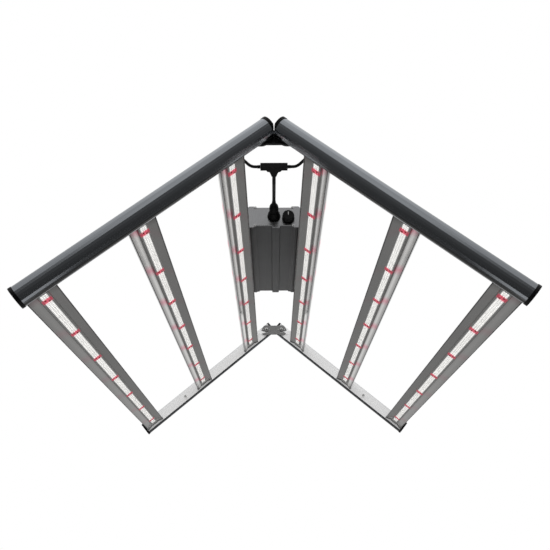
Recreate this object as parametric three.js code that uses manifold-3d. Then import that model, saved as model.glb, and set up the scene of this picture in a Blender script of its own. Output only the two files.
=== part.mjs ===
// Folding LED grow light: a rigid centre frame that carries the driver, and two wings of three
// LED bars each that hinge on it. Millimetres, +Z up, bars along Y, near end at -Y.
// The design is laid out about the middle of the frame at hinge-pin height, then lifted as one
// group so that the origin is the point above the driver that the rope hangers meet under.
import * as THREE from "three";
import { mergeVertices } from "three/addons/utils/BufferGeometryUtils.js";
import Module from "manifold-3d";

const wasm = await Module();
wasm.setup();

// Driving dimensions
const FOLD = THREE.MathUtils.degToRad(40.5); // how far each wing hangs below level
const GAP = 0.3; // between pieces that touch
const SPAN = 1070; // between the flat faces of the near and far rails
const PIN_X = 26.5; // hinge pin from the centre plane

const RAIL_R = 20; // rounded back of the D-shaped rail
const RAIL_DEPTH = 12; // flat face to the centre of the round
const RAIL_WALL = 2;
const RAIL_IN = 16.5; // inner rail end beyond the pin
const RAIL_OUT = 526.5; // outer rail end from the pin
const CAP_THICK = 6.5;
const CAP_PROUD = 0.8;

const BAR_AT = [81, 288.5, 496]; // bar centres from the pin
const BAR_HALF = 29.35;
const BAR_LIP = 13.5; // lip edge, from the rail's middle towards the crop
const BAR_BASE = 9.5; // face that the LED board lies on
const FIN_TOP = -14.5;
const FIN_PITCH = 9; // five fins on the back of each bar
const BOARD = { width: 19.5, thick: 1.6, near: -527, far: 503 };

const PLATE = { thick: 5, half: 45, top: 16, waist: -17.5, bottom: -20.5, armTop: -5, armBottom: -14.5 };
const SLOT = { r: 10.2, width: 3.4, from: -25, to: -125 }; // arc slots under the pins, in degrees
const SIDE_RAIL = { x: 70.2, width: 9, bottom: -15, height: 18, wall: 1.6 };
const DRIVER = { half: 61, bottom: -4, height: 60, length: 383, corner: 4 };
const LOBE = { from: 44, slant: 9, deep: 5.5, roof: 3.6 }; // the driver's corners stand proud
const RIB = { from: -4.6, to: 14.2, slant: 1.2 }; // rib along the driver's floor
const END_PLATE = { thick: 4, half: 65.2 };
const STRAP = { width: 24, thick: 2.5, at: 120 };

const SOCKET = { x: 0, z: 26.5 };
const PLUG_LENGTH = 54; // driver's near face to the end of the plug
const KNOB = { x: 35.5, z: 20.5, r: 14, length: 17 };
const TEE = { y: -432, z: 3.7, width: 57, depth: 13, height: 10.5, neck: 22 };
const CABLE_R = 4;
const ARM_R = 3.2;
// Junction box on the fins of each inner bar, where the lead from the tee goes in
const JUNCTION = { along: 30, width: 24, height: 10, up: 15, y: -521 };
const INLET_X = 26;
const DATA_X = -26;
const STUD = { along: 365, down: 3, headR: 4.5, neckR: 2.4, reach: 7 };

const grey = (v) => new THREE.Color().setRGB(v, v, v, THREE.SRGBColorSpace);
const finish = (color, roughness, metalness) =>
  new THREE.MeshStandardMaterial({ color, roughness, metalness });
const LOOK = {
  slate: finish(grey(0.26), 0.35, 0.8),
  silver: finish(grey(0.78), 0.35, 0.8),
  black: finish(grey(0.03), 0.5, 0.0),
  board: finish(grey(0.92), 0.45, 0.0),
  plate: finish(grey(0.53), 0.4, 0.8),
  steel: finish(grey(0.8), 0.25, 1.0),
  dark: finish(grey(0.25), 0.45, 0.6),
  cable: finish(grey(0.05), 0.55, 0.0),
};

// Booleans
function toSolid(geometry) {
  const g = geometry.clone();
  g.deleteAttribute("normal");
  g.deleteAttribute("uv");
  const merged = mergeVertices(g, 1e-4);
  return new wasm.Manifold(
    new wasm.Mesh({
      numProp: 3,
      vertProperties: new Float32Array(merged.attributes.position.array),
      triVerts: new Uint32Array(merged.index.array),
    }),
  );
}

function toGeometry(solid) {
  const mesh = solid.getMesh();
  const g = new THREE.BufferGeometry();
  g.setAttribute("position", new THREE.BufferAttribute(new Float32Array(mesh.vertProperties), 3));
  g.setIndex(new THREE.BufferAttribute(new Uint32Array(mesh.triVerts), 1));
  g.computeVertexNormals();
  return g;
}

const cut = (body, ...tools) =>
  toGeometry(tools.reduce((solid, tool) => solid.subtract(toSolid(tool)), toSolid(body)));
const join = (body, ...others) =>
  toGeometry(others.reduce((solid, other) => solid.add(toSolid(other)), toSolid(body)));
const common = (body, other) => toGeometry(toSolid(body).intersect(toSolid(other)));

// Geometry helpers: a section is given in (u, v) and run along an axis, centred on it
const AXES = {
  x: [new THREE.Vector3(0, 1, 0), new THREE.Vector3(0, 0, 1), new THREE.Vector3(1, 0, 0)],
  y: [new THREE.Vector3(1, 0, 0), new THREE.Vector3(0, 0, 1), new THREE.Vector3(0, -1, 0)],
  z: [new THREE.Vector3(1, 0, 0), new THREE.Vector3(0, 1, 0), new THREE.Vector3(0, 0, 1)],
};

function run(section, length, axis) {
  const g = new THREE.ExtrudeGeometry(section, { depth: length, bevelEnabled: false, curveSegments: 8 });
  g.translate(0, 0, -length / 2);
  return g.applyMatrix4(new THREE.Matrix4().makeBasis(...AXES[axis]));
}

// Outlines and holes all run counterclockwise, which ExtrudeGeometry needs where they are nested
function outline(points) {
  const corners = points.map(([u, v]) => new THREE.Vector2(u, v));
  if (THREE.ShapeUtils.area(corners) < 0) corners.reverse();
  return new THREE.Shape(corners);
}

const box = (x, y, z, at = [0, 0, 0]) => new THREE.BoxGeometry(x, y, z).translate(...at);

function rod(r, length, axis, at = [0, 0, 0], sides = 24) {
  const g = new THREE.CylinderGeometry(r, r, length, sides);
  if (axis === "x") g.rotateZ(Math.PI / 2);
  if (axis === "z") g.rotateX(Math.PI / 2);
  return g.translate(...at);
}

function roundedRect(width, height, r) {
  const corners = [
    [width / 2 - r, height / 2 - r],
    [r - width / 2, height / 2 - r],
    [r - width / 2, r - height / 2],
    [width / 2 - r, r - height / 2],
  ];
  const points = corners.flatMap(([u, v], i) =>
    [0, 1, 2, 3].map((k) => {
      const a = ((i + k / 3) * Math.PI) / 2;
      return [u + r * Math.cos(a), v + r * Math.sin(a)];
    }),
  );
  return outline(points);
}

// A lathe about Y, from a list of [radius, y]
const turned = (points, sides = 32) =>
  new THREE.LatheGeometry(
    points.map(([r, y]) => new THREE.Vector2(r, y)),
    sides,
  );

// A round cable of radius r along a smooth curve through the points
function cable(points, r, sides, steps) {
  const path = new THREE.CatmullRomCurve3(
    points.map((p) => new THREE.Vector3(...p)),
    false,
    "centripetal",
  );
  const section = outline(
    Array.from({ length: sides }, (_, i) => {
      const a = (2 * Math.PI * i) / sides;
      return [r * Math.cos(a), r * Math.sin(a)];
    }),
  );
  return new THREE.ExtrudeGeometry(section, { steps, extrudePath: path, bevelEnabled: false });
}

const light = new THREE.Group();

function add(parent, name, geometry, material, position = [0, 0, 0]) {
  const mesh = new THREE.Mesh(geometry, material);
  mesh.name = name;
  mesh.position.set(...position);
  parent.add(mesh);
  return mesh;
}

// D-shaped section: flat side at y = flat, round of radius r about the rail's centre
function railSection(outward, r, flat) {
  const half = Math.PI - Math.acos((RAIL_DEPTH - flat) / r);
  const steps = 18;
  return outline(
    Array.from({ length: steps + 1 }, (_, i) => {
      const a = -half + (2 * half * i) / steps;
      return [outward * (RAIL_DEPTH + r * Math.cos(a)), r * Math.sin(a)];
    }),
  );
}

const ENDS = [
  { name: "near", dir: -1 },
  { name: "far", dir: 1 },
];
const SIDES = [
  { name: "left", dir: -1 },
  { name: "right", dir: 1 },
];
const BAR_NAMES = ["inner", "middle", "outer"];

// Rail: hollow D extrusion, drilled for the hinge pin and the hanging stud
function rail(side, end) {
  const length = RAIL_OUT + RAIL_IN;
  const middle = (side.dir * (RAIL_OUT - RAIL_IN)) / 2;
  const section = railSection(end.dir, RAIL_R, 0);
  section.holes.push(railSection(end.dir, RAIL_R - RAIL_WALL, RAIL_WALL));
  const body = run(section, length, "x").translate(middle, 0, 0);
  return cut(
    body,
    rod(4.4, 12, "y"),
    rod(STUD.neckR + GAP, 12, "y", [side.dir * STUD.along, 0, -STUD.down]),
  );
}

// End cap: a rim a little larger than the rail, with a plug that goes into it. The inner caps are
// rounded about the hinge pin on the lower side, so that the two wings clear each other.
function railCap(end, outwardDir, inner) {
  const rimFlat = inner ? 0 : -CAP_PROUD; // the hinge plate lies on the inner caps
  const rim = run(railSection(end.dir, RAIL_R + CAP_PROUD, rimFlat), CAP_THICK, "x");
  const plugLength = inner ? 8 : 12; // the inner plug stops short of the hinge pin's nut
  const plug = run(railSection(end.dir, RAIL_R - RAIL_WALL - GAP, RAIL_WALL + GAP), plugLength, "x");
  rim.translate((outwardDir * CAP_THICK) / 2, 0, 0);
  plug.translate(outwardDir * (0.5 - plugLength / 2), 0, 0);
  const cap = join(rim, plug);
  if (!inner) return cap;
  const reach = PIN_X - 0.5;
  const pinAt = -outwardDir * (RAIL_IN + GAP);
  const round = rod(reach, 120, "y", [pinAt, 0, 0], 72);
  const upper = box(200, 120, 60, [0, 0, 30]);
  return common(cap, join(round, upper));
}

// LED bar: two shallow wings with a lip each side of a flat base, and cooling fins on the back
function barSection() {
  const base = BOARD.width / 2 + 0.6;
  const face = [
    [-BAR_HALF, -BAR_LIP + 6.5],
    [-BAR_HALF, -BAR_LIP],
    [-BAR_HALF + 1.8, -BAR_LIP],
    [-BAR_HALF + 2.2, -BAR_LIP + 1.4],
    [-base - 0.6, -BAR_BASE + 1.8],
    [-base, -BAR_BASE],
  ];
  const mirrored = face.map(([u, v]) => [-u, v]).reverse();
  const root = BAR_HALF - 2.8; // where the lip's side wall meets the wing
  const shoulder = base + 1.6; // half width of the flat spine behind the board
  const spine = -5.8; // back of the spine
  const backAt = (u) => spine - (4 * Math.max(0, Math.abs(u) - shoulder)) / (root - shoulder);
  const finHalf = 0.7;
  const fin = (u) => [
    [u + finHalf, backAt(u + finHalf)],
    [u + finHalf * 0.7, -FIN_TOP],
    [u - finHalf * 0.7, -FIN_TOP],
    [u - finHalf, backAt(u - finHalf)],
  ];
  const back = [
    [BAR_HALF - 2, -BAR_LIP + 6.5],
    [root, backAt(root)],
    ...fin(2 * FIN_PITCH),
    [shoulder, spine],
    ...fin(FIN_PITCH),
    ...fin(0),
    ...fin(-FIN_PITCH),
    [-shoulder, spine],
    ...fin(-2 * FIN_PITCH),
    [-root, backAt(root)],
    [-BAR_HALF + 2, -BAR_LIP + 6.5],
  ];
  return outline([...face, ...mirrored, ...back]);
}

function wing(side) {
  const group = new THREE.Group();
  group.position.x = side.dir * PIN_X;
  group.rotation.y = side.dir * FOLD;

  for (const end of ENDS) {
    const flat = (end.dir * SPAN) / 2;
    const tag = `${side.name}_${end.name}`;
    add(group, `rail_${tag}`, rail(side, end), LOOK.slate, [0, flat, 0]);
    const innerAt = -side.dir * (RAIL_IN + GAP);
    add(group, `rail_cap_inner_${tag}`, railCap(end, -side.dir, true), LOOK.black, [innerAt, flat, 0]);
    const outerAt = side.dir * (RAIL_OUT + GAP);
    add(group, `rail_cap_outer_${tag}`, railCap(end, side.dir, false), LOOK.black, [outerAt, flat, 0]);
    add(group, `hanging_stud_${tag}`, stud(end), LOOK.steel, [
      side.dir * STUD.along,
      flat,
      -STUD.down,
    ]);
  }

  BAR_AT.forEach((along, i) => {
    const x = side.dir * along;
    const bar = run(barSection(), SPAN - 2 * GAP, "y");
    add(group, `led_bar_${side.name}_${BAR_NAMES[i]}`, bar, LOOK.silver, [x, 0, 0]);
    const board = box(BOARD.width, BOARD.far - BOARD.near, BOARD.thick);
    const boardAt = [x, (BOARD.near + BOARD.far) / 2, -BAR_BASE - GAP - BOARD.thick / 2];
    add(group, `led_board_${side.name}_${BAR_NAMES[i]}`, board, LOOK.board, boardAt);
  });

  const junction = run(roundedRect(JUNCTION.width, JUNCTION.height, 2), JUNCTION.along - 8, "y");
  const at = [side.dir * BAR_AT[0], JUNCTION.y, JUNCTION.up + JUNCTION.height / 2];
  add(group, `lead_junction_${side.name}`, junction, LOOK.black, at);
  return group;
}

// Hanging stud: a shoulder screw in the rail's flat wall, with a neck that a sling's eye goes round
function stud(end) {
  const out = -end.dir;
  const profile = [
    [0, -8],
    [STUD.neckR, -8],
    [STUD.neckR, STUD.reach - 2.5],
    [STUD.headR, STUD.reach - 2.5],
    [STUD.headR, STUD.reach - 0.6],
    [STUD.headR - 0.6, STUD.reach],
    [0, STUD.reach],
  ];
  const g = turned(profile, 24);
  if (out < 0) g.rotateX(Math.PI);
  return g;
}

// Hinge plate: spans the two pins, with an arc slot under each and an arm to each side rail
function hingePlate() {
  const right = [
    [15, PLATE.waist],
    [20, PLATE.bottom + 0.6],
    [24, PLATE.bottom],
    [33, PLATE.bottom],
    [39, PLATE.bottom + 2.5],
    [43, PLATE.bottom + 6.5],
    [PLATE.half - 0.3, -10],
    [PLATE.half, -4],
    [PLATE.half - 1.5, 2],
    [37.5, 12],
    [33, PLATE.top],
    [19, PLATE.top],
    [13, PLATE.top - 1],
  ];
  const left = right.map(([u, v]) => [-u, v]).reverse();
  const body = run(outline([...right, ...left]), PLATE.thick, "y");
  const armEnd = SIDE_RAIL.x + SIDE_RAIL.width / 2;
  const armHeight = PLATE.armTop - PLATE.armBottom;
  const arm = box(2 * armEnd, PLATE.thick, armHeight, [0, 0, PLATE.armBottom + armHeight / 2]);
  const holes = SIDES.map((side) => rod(4.4, 3 * PLATE.thick, "y", [side.dir * PIN_X, 0, 0]));
  return cut(join(body, arm), ...holes, ...SIDES.map(arcSlot));
}

function arcSlot(side) {
  const steps = 10;
  const band = (r) =>
    Array.from({ length: steps + 1 }, (_, i) => {
      const a = THREE.MathUtils.degToRad(SLOT.from + ((SLOT.to - SLOT.from) * i) / steps);
      return [side.dir * (PIN_X + r * Math.cos(a)), r * Math.sin(a)];
    });
  const edge = [...band(SLOT.r + SLOT.width / 2), ...band(SLOT.r - SLOT.width / 2).reverse()];
  return run(outline(edge), 3 * PLATE.thick, "y");
}

// Hinge pin: button head on the plate, shank through the plate and the rail's flat wall, and a
// locking nut inside the rail
function hingePin() {
  const plate = PLATE.thick + 2 * GAP;
  return turned(
    [
      [0, -RAIL_WALL - 7],
      [7, -RAIL_WALL - 7],
      [7, -RAIL_WALL - GAP],
      [4, -RAIL_WALL - GAP],
      [4, plate],
      [6.2, plate],
      [6.2, plate + 1.6],
      [5.2, plate + 3.6],
      [3.2, plate + 4.6],
      [0, plate + 4.6],
    ],
    32,
  );
}

function centreFrame(parent) {
  for (const end of ENDS) {
    const flat = (end.dir * SPAN) / 2;
    const plateY = flat - end.dir * (GAP + PLATE.thick / 2);
    add(parent, `hinge_plate_${end.name}`, hingePlate(), LOOK.plate, [0, plateY, 0]);
    for (const side of SIDES) {
      const pin = hingePin();
      if (end.dir > 0) pin.rotateX(Math.PI);
      add(parent, `hinge_pin_${side.name}_${end.name}`, pin, LOOK.steel, [side.dir * PIN_X, flat, 0]);
    }
  }

  const between = SPAN - 2 * (PLATE.thick + 2 * GAP);
  const section = roundedRect(SIDE_RAIL.width, SIDE_RAIL.height, 1.5);
  section.holes.push(
    roundedRect(SIDE_RAIL.width - 2 * SIDE_RAIL.wall, SIDE_RAIL.height - 2 * SIDE_RAIL.wall, 0.6),
  );
  for (const side of SIDES) {
    const z = SIDE_RAIL.bottom + SIDE_RAIL.height / 2;
    const tube = run(section, between, "y");
    add(parent, `side_rail_${side.name}`, tube, LOOK.silver, [side.dir * SIDE_RAIL.x, 0, z]);
  }
}

// Driver: extruded housing, two end plates and the circuit board between them
function lobedOutline(half, roof) {
  const c = DRIVER.corner;
  const { height } = DRIVER;
  const high = height - LOBE.roof;
  return outline([
    [-half + c, 0],
    [-LOBE.from - LOBE.slant, 0],
    [-LOBE.from, LOBE.deep],
    [RIB.from - RIB.slant, LOBE.deep],
    [RIB.from, 0],
    [RIB.to, 0],
    [RIB.to + RIB.slant, LOBE.deep],
    [LOBE.from, LOBE.deep],
    [LOBE.from + LOBE.slant, 0],
    [half - c, 0],
    [half, c],
    [half, height - c],
    [half - c, height],
    [LOBE.from + 2, height],
    [LOBE.from, high],
    ...roof,
    [-LOBE.from, high],
    [-LOBE.from - 2, height],
    [-half + c, height],
    [-half, height - c],
    [-half, c],
  ]);
}

function driverSection() {
  const finHeight = 8;
  const top = DRIVER.height - LOBE.roof;
  const roof = [];
  const fins = 9;
  const pitch = (2 * LOBE.from - 8) / fins;
  for (let i = 0; i < fins; i += 1) {
    const at = ((fins - 1) / 2 - i) * pitch;
    roof.push([at + 3, top], [at + 2.6, top - finHeight]);
    roof.push([at - 2.6, top - finHeight], [at - 3, top]);
  }
  return lobedOutline(DRIVER.half, roof);
}

function endPlateSection(holes) {
  const section = lobedOutline(END_PLATE.half, []);
  holes.forEach(([x, z, r]) => {
    const hole = new THREE.Path();
    hole.absarc(x, z - DRIVER.bottom, r, 0, 2 * Math.PI, true);
    section.holes.push(hole);
  });
  return section;
}

function driver(parent) {
  const wall = 4;
  const floorZ = LOBE.deep + wall;
  const cavityHeight = 34;
  const cavity = roundedRect(2 * (DRIVER.half - wall), cavityHeight, 3);
  const body = cut(
    run(driverSection(), DRIVER.length, "y"),
    run(cavity, DRIVER.length + 2, "y").translate(0, 0, floorZ + cavityHeight / 2),
  );
  add(parent, "driver_housing", body, LOOK.dark, [0, 0, DRIVER.bottom]);

  const boardWidth = 2 * (DRIVER.half - wall) - 4;
  const board = box(boardWidth, DRIVER.length - 20, 3);
  const standoff = 6;
  add(parent, "driver_circuit_board", board, LOOK.black, [0, 0, DRIVER.bottom + floorZ + standoff]);

  const faceY = DRIVER.length / 2 + GAP;
  const portZ = DRIVER.bottom + DRIVER.height / 2 - 4;
  const near = run(endPlateSection([[SOCKET.x, SOCKET.z, 9], [KNOB.x, KNOB.z, 4]]), END_PLATE.thick, "y");
  const far = run(endPlateSection([[DATA_X, portZ, 8.5]]), END_PLATE.thick, "y");
  add(parent, "driver_end_plate_near", near, LOOK.silver, [0, -faceY - END_PLATE.thick / 2, DRIVER.bottom]);
  add(parent, "driver_end_plate_far", far, LOOK.silver, [0, faceY + END_PLATE.thick / 2, DRIVER.bottom]);
  return { nearY: -faceY - END_PLATE.thick, farY: faceY + END_PLATE.thick, portZ };
}

// Strap over the driver, down both sides and out onto the side rails
function strapSection() {
  const inner = DRIVER.half + GAP;
  const outer = inner + STRAP.thick;
  const top = DRIVER.bottom + DRIVER.height + GAP;
  const foot = SIDE_RAIL.bottom + SIDE_RAIL.height + GAP;
  const reach = SIDE_RAIL.x + SIDE_RAIL.width / 2;
  const half = [
    [inner, top],
    [inner, foot],
    [reach, foot],
    [reach, foot + STRAP.thick],
    [outer, foot + STRAP.thick],
    [outer, top + STRAP.thick],
  ];
  const mirrored = half.map(([u, v]) => [-u, v]).reverse();
  return outline([...half, ...mirrored]);
}

function straps(parent) {
  for (const end of ENDS) {
    const g = run(strapSection(), STRAP.width, "y");
    add(parent, `driver_strap_${end.name}`, g, LOOK.plate, [0, end.dir * STRAP.at, 0]);
  }
}

// Output socket with a hexagonal flange and a threaded collar, and the lead's plug and coupling nut
function outputConnector(parent, faceY) {
  const at = [SOCKET.x, faceY, SOCKET.z];
  const barrel = turned([
    [0, -10],
    [8.6, -10],
    [8.6, 3],
    [9, 3],
    [9, 22],
    [0, 22],
  ]);
  const flange = rod(16.6, 5, "y", [0, 2.8, 0], 6);
  add(parent, "output_socket", join(barrel, flange).rotateX(Math.PI), LOOK.black, at);
  const nut = turned([
    [9.3, 6],
    [14, 6],
    [14.5, 8],
    [13.8, 13],
    [11.4, 20],
    [10.6, 25.5],
    [7.6, 25.5],
    [7.6, 22.6],
    [9.3, 22.6],
    [9.3, 6],
  ]);
  add(parent, "plug_coupling_nut", nut.rotateX(Math.PI), LOOK.black, at);
  const plug = turned([
    [0, 22.9],
    [7.2, 22.9],
    [7.2, 26],
    [10.2, 27],
    [11.2, 32],
    [11, 43],
    [9.6, 48.5],
    [7, 52],
    [5, PLUG_LENGTH],
    [0, PLUG_LENGTH],
  ]);
  add(parent, "lead_plug", plug.rotateX(Math.PI), LOOK.black, at);
  return faceY - PLUG_LENGTH;
}

function dimmerKnob(parent, faceY) {
  const flutes = 18;
  const steps = flutes * 4;
  const section = outline(
    Array.from({ length: steps }, (_, i) => {
      const a = (2 * Math.PI * i) / steps;
      const r = KNOB.r + 0.45 * Math.cos(flutes * a);
      return [r * Math.cos(a), r * Math.sin(a)];
    }),
  );
  const grip = run(section, KNOB.length - 3, "y").translate(0, -(KNOB.length - 3) / 2 - 3, 0);
  const skirt = rod(KNOB.r + 1.4, 2.4, "y", [0, -1.8, 0], 48);
  const shaft = rod(3, 12, "y", [0, 4, 0]);
  add(parent, "dimmer_knob", join(grip, skirt, shaft), LOOK.black, [KNOB.x, faceY, KNOB.z]);
}

// Far end of the driver: mains inlet with its socket, and a data port
function farPorts(parent, faceY, portZ) {
  const inletBody = box(27, 11.5, 20, [0, 5.75 + GAP, 0]);
  const cavity = box(23, 16, 15.5, [0, 11.5, 0]);
  const flange = box(36, 2.5, 24, [0, 1.25 + GAP, 0]);
  const inlet = cut(join(inletBody, flange), cavity);
  add(parent, "mains_inlet", inlet, LOOK.black, [INLET_X, faceY, portZ]);
  const port = turned([
    [0, -8],
    [8, -8],
    [8, 0.3],
    [10.5, 0.3],
    [10.5, 4],
    [8.5, 5],
    [8.5, 14],
    [0, 14],
  ]);
  add(parent, "data_port", port, LOOK.black, [DATA_X, faceY, portZ]);
}

// Harness: a lead forward from the plug to a moulded tee, and an arm from it to each inner bar
function tee() {
  const half = TEE.width / 2;
  const d = TEE.depth / 2;
  const right = [
    [half, d],
    [half - 12, d],
    [half - 15, d + 5],
    [half - 19, d + 6],
    [half - 21, d + 12],
    [5, d + TEE.neck],
  ];
  const left = right.map(([u, v]) => [-u, v]).reverse();
  return run(outline([[-half, -d], [half, -d], ...right, ...left]), TEE.height, "z");
}

// Points given beside the driver's wings: x out from the centre, then y and z
const ARM_ROUTE = [
  [37, -432, 3.7],
  [45, -432.6, 4],
  [52, -436.2, 5.4],
  [58, -442.5, 7.2],
  [65, -452, 8.4],
  [72.5, -463.5, 7.9],
  [79.5, -474, 4],
  [85.5, -482.5, -4.5],
  [91, -490.5, -15.5],
  [95.8, -498, -27],
];

function harness(parent, plugEndY) {
  add(parent, "lead_tee", tee(), LOOK.black, [0, TEE.y, TEE.z]);
  const teeBack = TEE.y + TEE.depth / 2 + TEE.neck;
  const lead = cable(
    [
      [0, plugEndY - GAP, SOCKET.z],
      [0, plugEndY - 12, SOCKET.z],
      [0, plugEndY - 40, SOCKET.z - 5],
      [0, (plugEndY + teeBack) / 2 - 8, (SOCKET.z + TEE.z) / 2 - 4],
      [0, teeBack + 32, TEE.z - 1],
      [0, teeBack + 10, TEE.z],
      [0, teeBack + GAP, TEE.z],
    ],
    CABLE_R,
    10,
    18,
  );
  add(parent, "lead_driver_to_tee", lead, LOOK.cable);

  const faceY = JUNCTION.y + (JUNCTION.along - 8) / 2 + 2 * GAP;
  const up = JUNCTION.up + JUNCTION.height / 2;
  const along = BAR_AT[0] - 4;
  const entry = {
    x: PIN_X + along * Math.cos(FOLD) + up * Math.sin(FOLD),
    z: -along * Math.sin(FOLD) + up * Math.cos(FOLD),
  };
  for (const side of SIDES) {
    const route = [
      [TEE.width / 2 + GAP, TEE.y, TEE.z],
      ...ARM_ROUTE,
      [entry.x, faceY + 5, entry.z],
      [entry.x, faceY, entry.z],
    ].map(([x, y, z]) => [side.dir * x, y, z]);
    add(parent, `lead_tee_to_${side.name}_wing`, cable(route, ARM_R, 10, 26), LOOK.cable);
  }
}

const assembly = new THREE.Group();
centreFrame(assembly);
const faces = driver(assembly);
straps(assembly);
const plugEndY = outputConnector(assembly, faces.nearY);
dimmerKnob(assembly, faces.nearY);
farPorts(assembly, faces.farY, faces.portZ);
harness(assembly, plugEndY);
for (const side of SIDES) assembly.add(wing(side));
assembly.position.z = -(DRIVER.bottom + DRIVER.height + GAP + STRAP.thick);
light.add(assembly);

export default light;
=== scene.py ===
import math

import bpy
from mathutils import Matrix, Vector


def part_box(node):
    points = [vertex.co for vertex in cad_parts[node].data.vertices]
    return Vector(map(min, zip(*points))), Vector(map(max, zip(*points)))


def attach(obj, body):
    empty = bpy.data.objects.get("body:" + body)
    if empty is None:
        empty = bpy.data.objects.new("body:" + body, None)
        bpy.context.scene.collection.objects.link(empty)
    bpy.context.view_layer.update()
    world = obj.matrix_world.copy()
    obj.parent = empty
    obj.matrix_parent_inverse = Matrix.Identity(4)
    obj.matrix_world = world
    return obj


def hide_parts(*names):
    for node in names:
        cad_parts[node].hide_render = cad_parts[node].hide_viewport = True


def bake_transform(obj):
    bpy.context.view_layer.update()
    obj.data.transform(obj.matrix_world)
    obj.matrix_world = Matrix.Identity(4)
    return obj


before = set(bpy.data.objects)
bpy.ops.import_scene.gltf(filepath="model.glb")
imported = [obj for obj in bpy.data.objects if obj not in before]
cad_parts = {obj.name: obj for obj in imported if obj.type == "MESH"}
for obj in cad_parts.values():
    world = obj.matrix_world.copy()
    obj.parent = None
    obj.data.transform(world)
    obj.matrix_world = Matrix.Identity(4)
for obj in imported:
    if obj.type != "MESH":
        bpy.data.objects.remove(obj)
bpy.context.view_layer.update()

# Driving sizes, in metres
PIVOT_X = 0.0265  # fold pivots either side of the middle
PIVOT_Z = -0.0588
FOLD = math.radians(40.5)  # how far each wing hangs below level
BARS = {"inner": 0.081, "middle": 0.2885, "outer": 0.496}  # bar centres, from the pivot
BAR_PITCH = 0.2075
BAR_END = 0.5344
BOARD_FACE = -0.0114  # crop side of the LED boards
LED_NEAR, LED_FAR = -0.5245, 0.5005  # ends of the LED rows
LED_PITCH = 0.0056
ROW_PITCH = 0.0042
RED_FIRST, RED_PITCH = -0.503, 0.1613
RAIL_INNER_WALL = 0.535  # flat wall of the rails, which the bars butt against
DRIVER_FACE = 0.1958  # outer face of the driver's end plates
SIGNS = {"left": -1, "right": 1}
ENDS = {"near": -1, "far": 1}


# ------------------------------------------------------------------ camera


def make_camera():
    pitch, yaw, roll = (math.radians(v) for v in (25.828, 0.277, -0.414))
    ahead = Vector(
        (math.sin(yaw) * math.cos(pitch), math.cos(yaw) * math.cos(pitch), math.sin(pitch))
    )
    level = ahead.cross(Vector((0, 0, 1))).normalized()
    above = level.cross(ahead)
    right = level * math.cos(roll) + above * math.sin(roll)
    up = above * math.cos(roll) - level * math.sin(roll)
    camera = bpy.data.objects.new("camera", bpy.data.cameras.new("camera"))
    camera.data.lens = 38.363
    camera.data.sensor_width = 36
    camera.data.clip_start = 0.02
    camera.data.clip_end = 60
    turn = Matrix((right, up, -ahead)).transposed().to_4x4()
    camera.matrix_world = Matrix.Translation((-0.00434, -1.4412, -0.7963)) @ turn
    bpy.context.scene.collection.objects.link(camera)
    bpy.context.scene.camera = camera


make_camera()


# ------------------------------------------------------------------ mesh building


def wing_frame(sign):
    """Takes (sign * distance out along the wing, y, height above it) to the row frame."""
    return Matrix.Translation((sign * PIVOT_X, 0, PIVOT_Z)) @ Matrix.Rotation(sign * FOLD, 4, "Y")


def facing(direction, at):
    """A placement whose z axis points along direction."""
    turn = Vector(direction).to_track_quat("Z", "Y").to_matrix().to_4x4()
    return Matrix.Translation(at) @ turn


def hexagon(half_flats):
    return lambda a: half_flats / math.cos(a % (math.pi / 3) - math.pi / 6)


def cross(reach, root):
    return lambda a: root + (reach - root) * abs(math.cos(2 * a)) ** 8


def rounded(width, depth, corner, steps=4):
    """Corner-rounded rectangle, anticlockwise."""
    points = []
    for k, (sx, sy) in enumerate(((1, 1), (-1, 1), (-1, -1), (1, -1))):
        for i in range(steps + 1):
            a = (k + i / steps) * math.pi / 2
            x = sx * (width / 2 - corner) + corner * math.cos(a)
            y = sy * (depth / 2 - corner) + corner * math.sin(a)
            points.append((x, y))
    return points


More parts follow.
